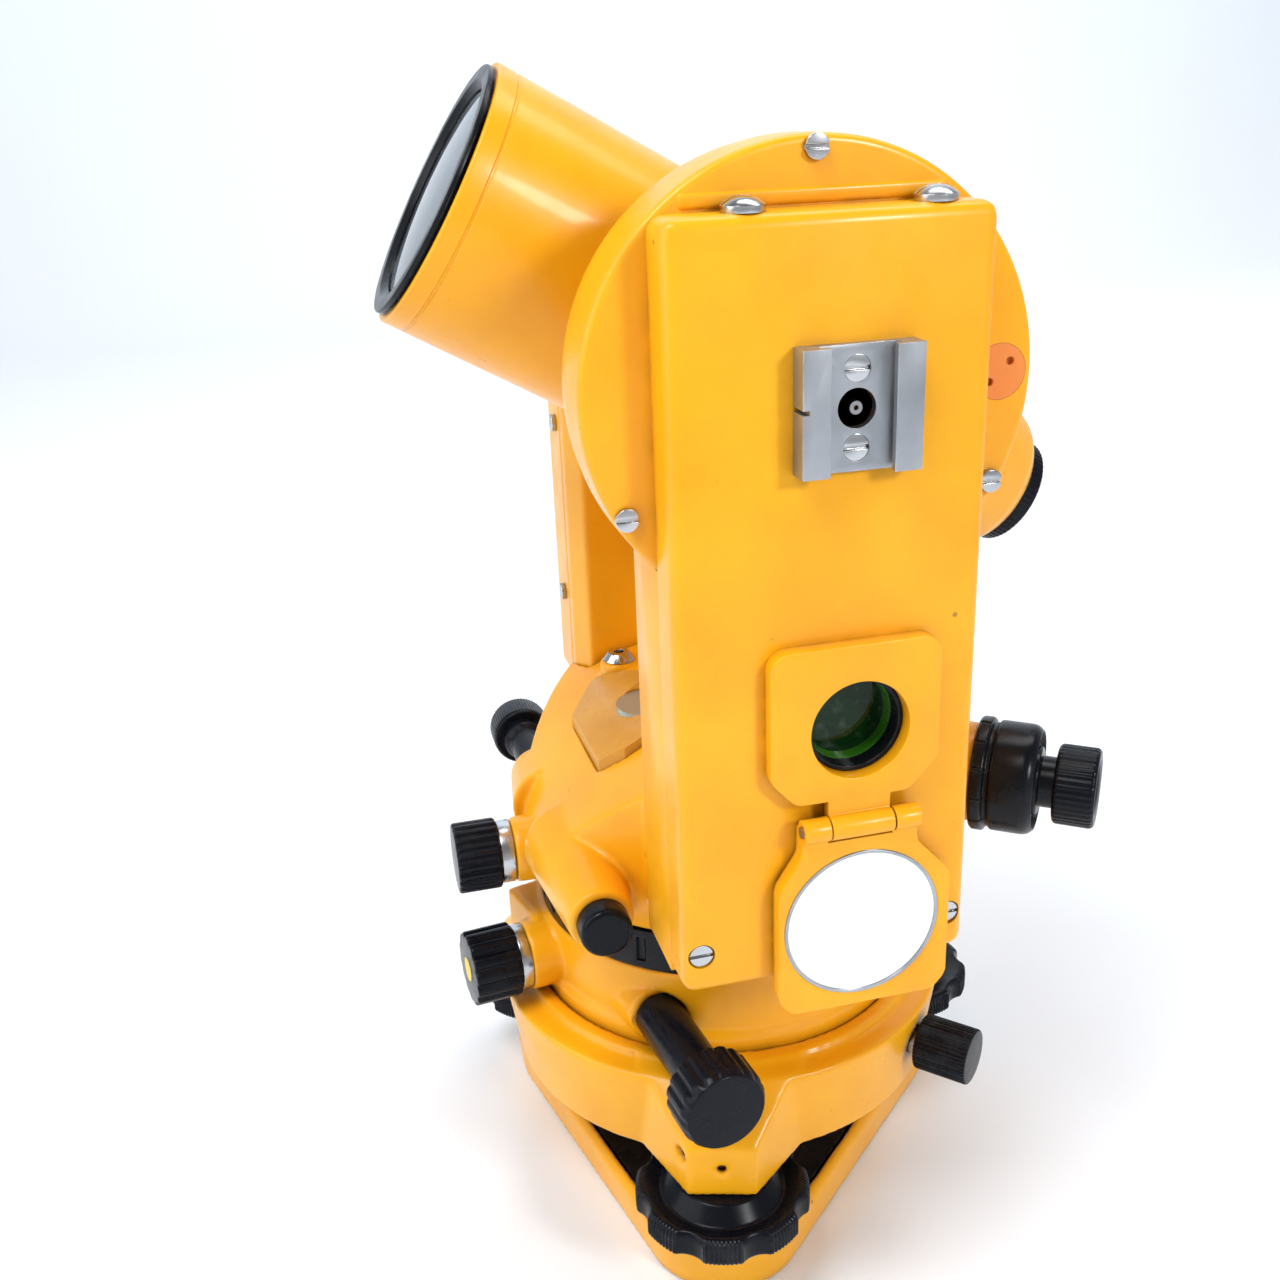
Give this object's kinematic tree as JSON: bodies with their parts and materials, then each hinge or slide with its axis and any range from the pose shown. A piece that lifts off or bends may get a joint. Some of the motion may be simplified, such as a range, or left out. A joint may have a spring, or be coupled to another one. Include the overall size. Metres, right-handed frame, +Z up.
{
  "type": "optical theodolite",
  "caption": "Optical-mechanical surveying theodolite on a three-screw tribrach, with a plunging telescope, clamp and tangent knobs, folding illumination mirror and optical plummet.",
  "frame": {"origin": "mouth of the tripod thread, in the underside of the base plate", "axes": "+Z up along the vertical axis; -Y towards the circle housing with the accessory shoe and the illumination mirror; -X towards the objective at rest"},
  "size_m": [0.1696, 0.1652, 0.2958],
  "materials": {
    "yellow_enamel": "satin orange-yellow enamel on cast alloy",
    "black_plastic": "moulded, slightly glossy, fluted and knurled grips",
    "black_metal": "black satin lacquer",
    "bright_chrome": "polished",
    "bare_steel": "machined",
    "optical_glass": "polished, coated",
    "window_green": "green tinted",
    "grey_shoe": "dull plated grey",
    "orange_plug": "matt",
    "level_plastic": "translucent yellow moulding",
    "lid_mirror": "silvered"
  },
  "bodies": {
    "tribrach": {"base_plate": "yellow_enamel", "spring_plate": "black_metal", "spring_plate_screws": "bright_chrome", "tribrach_body": "yellow_enamel", "footscrew_nuts": "bare_steel", "arm_grub_screws": "bright_chrome"},
    "tribrach_clamp": {"tribrach_clamp_screw": "bright_chrome", "tribrach_clamp_knob": "black_plastic"},
    "footscrew_front": {"footscrew_knob_front": "black_plastic", "footscrew_spindle_front": "bare_steel"},
    "footscrew_right": {"footscrew_knob_right": "black_plastic", "footscrew_spindle_right": "bare_steel"},
    "footscrew_left": {"footscrew_knob_left": "black_plastic", "footscrew_spindle_left": "bare_steel"},
    "lower_unit": {"lower_collar": "yellow_enamel", "orientation_ring": "black_metal", "horizontal_circle": "optical_glass", "lower_clamp_collar": "bright_chrome", "lower_spring_cap": "bright_chrome"},
    "lower_clamp": {"lower_clamp_knob": "black_plastic"},
    "lower_tangent": {"lower_tangent_knob": "black_plastic"},
    "alidade": {"alidade_body": "yellow_enamel", "vertical_axis": "bare_steel", "front_standard": "yellow_enamel", "rear_standard": "yellow_enamel", "trunnion_bushes": "bare_steel", "front_cover": "yellow_enamel", "front_cover_screws": "bright_chrome", "top_bolts": "bright_chrome", "circle_cover": "yellow_enamel", "cover_screws": "bright_chrome", "rear_cover": "yellow_enamel", "accessory_shoe": "grey_shoe", "shoe_screws": "bright_chrome", "shoe_contact": "bare_steel", "window_plate": "yellow_enamel", "window_glass": "window_green", "spanner_plug": "orange_plug", "level_bezel": "level_plastic", "level_vial": "optical_glass", "level_adjust_screw": "bright_chrome", "plummet_tube": "black_metal", "upper_clamp_collar": "bright_chrome", "upper_spring_cap": "black_plastic", "lid_hinge_pin": "bare_steel"},
    "plummet_focus": {"plummet_eyepiece": "black_plastic"},
    "upper_clamp": {"upper_clamp_knob": "black_plastic"},
    "upper_tangent": {"upper_tangent_knob": "black_plastic"},
    "mirror": {"mirror_lid": "yellow_enamel", "mirror_glass": "lid_mirror"},
    "vertical_clamp": {"vertical_clamp_knob": "black_plastic"},
    "vertical_tangent": {"vertical_tangent_knob": "black_plastic"},
    "micrometer": {"micrometer_knob": "black_plastic"},
    "telescope": {"telescope_tube": "yellow_enamel", "objective_bezel": "black_metal", "objective_lens": "optical_glass", "trunnion_axle": "bare_steel", "vertical_circle": "optical_glass"},
    "focusing": {"focusing_ring": "black_plastic"},
    "eyepiece": {"eyepiece_ring": "black_plastic"}
  },
  "joints": [
    {"name": "tribrach_clamp_turn", "type": "hinge", "parent": "tribrach", "child": "tribrach_clamp", "pos_m": [0.04092, -0.04388, 0.0485], "axis": [0.682, -0.7314, 0], "range_deg": [0, 270]},
    {"name": "footscrew_front_turn", "type": "hinge", "parent": "tribrach", "child": "footscrew_front", "pos_m": [-0.01854, -0.06063, 0.028], "axis": [0, 0, 1], "range_deg": [-1080, 1080]},
    {"name": "footscrew_right_turn", "type": "hinge", "parent": "tribrach", "child": "footscrew_right", "pos_m": [0.06177, 0.01426, 0.028], "axis": [0, 0, 1], "range_deg": [-1080, 1080]},
    {"name": "footscrew_left_turn", "type": "hinge", "parent": "tribrach", "child": "footscrew_left", "pos_m": [-0.04324, 0.04637, 0.028], "axis": [0, 0, 1], "range_deg": [-1080, 1080]},
    {"name": "lower_azimuth", "type": "hinge", "parent": "tribrach", "child": "lower_unit", "pos_m": [0, 0, 0.058], "axis": [0, 0, 1], "continuous": true},
    {"name": "lower_clamp_turn", "type": "hinge", "parent": "lower_unit", "child": "lower_clamp", "pos_m": [-0.05955, -0.00731, 0.071], "axis": [-0.9925, -0.1219, 0], "range_deg": [0, 360]},
    {"name": "lower_tangent_turn", "type": "hinge", "parent": "lower_unit", "child": "lower_tangent", "pos_m": [-0.0295, -0.035, 0.0695], "axis": [0.1323, -0.9912, 0], "range_deg": [-1800, 1800]},
    {"name": "azimuth", "type": "hinge", "parent": "lower_unit", "child": "alidade", "pos_m": [0, 0, 0.094], "axis": [0, 0, 1], "continuous": true},
    {"name": "plummet_focus_turn", "type": "hinge", "parent": "alidade", "child": "plummet_focus", "pos_m": [0.07557, -0.05757, 0.1255], "axis": [0.7955, -0.606, 0], "range_deg": [-90, 90]},
    {"name": "upper_clamp_turn", "type": "hinge", "parent": "alidade", "child": "upper_clamp", "pos_m": [-0.06, 0, 0.1], "axis": [-1, 0, 0], "range_deg": [0, 360]},
    {"name": "upper_tangent_turn", "type": "hinge", "parent": "alidade", "child": "upper_tangent", "pos_m": [-0.044, 0.04, 0.1065], "axis": [0, 1, 0], "range_deg": [-1800, 1800]},
    {"name": "mirror_fold", "type": "hinge", "parent": "alidade", "child": "mirror", "pos_m": [0.0054, -0.0876, 0.1432], "axis": [-1, 0, 0], "range_deg": [0, 180]},
    {"name": "vertical_clamp_turn", "type": "hinge", "parent": "alidade", "child": "vertical_clamp", "pos_m": [0.03, 0.054, 0.193], "axis": [1, 0, 0], "range_deg": [0, 360]},
    {"name": "vertical_tangent_turn", "type": "hinge", "parent": "alidade", "child": "vertical_tangent", "pos_m": [0.03, 0.054, 0.166], "axis": [1, 0, 0], "range_deg": [-1800, 1800]},
    {"name": "micrometer_turn", "type": "hinge", "parent": "alidade", "child": "micrometer", "pos_m": [0.012, 0.062, 0.216], "axis": [0, 1, 0], "range_deg": [-300, 300]},
    {"name": "elevation", "type": "hinge", "parent": "alidade", "child": "telescope", "pos_m": [0, 0, 0.233], "axis": [0, 1, 0], "range_deg": [-255, 14]},
    {"name": "focus_turn", "type": "hinge", "parent": "telescope", "child": "focusing", "pos_m": [0.08141, 0, 0.186], "axis": [-0.866, 0, 0.5], "range_deg": [-200, 200]},
    {"name": "eyepiece_turn", "type": "hinge", "parent": "telescope", "child": "eyepiece", "pos_m": [0.08487, 0, 0.184], "axis": [-0.866, 0, 0.5], "range_deg": [-180, 180]}
  ]
}
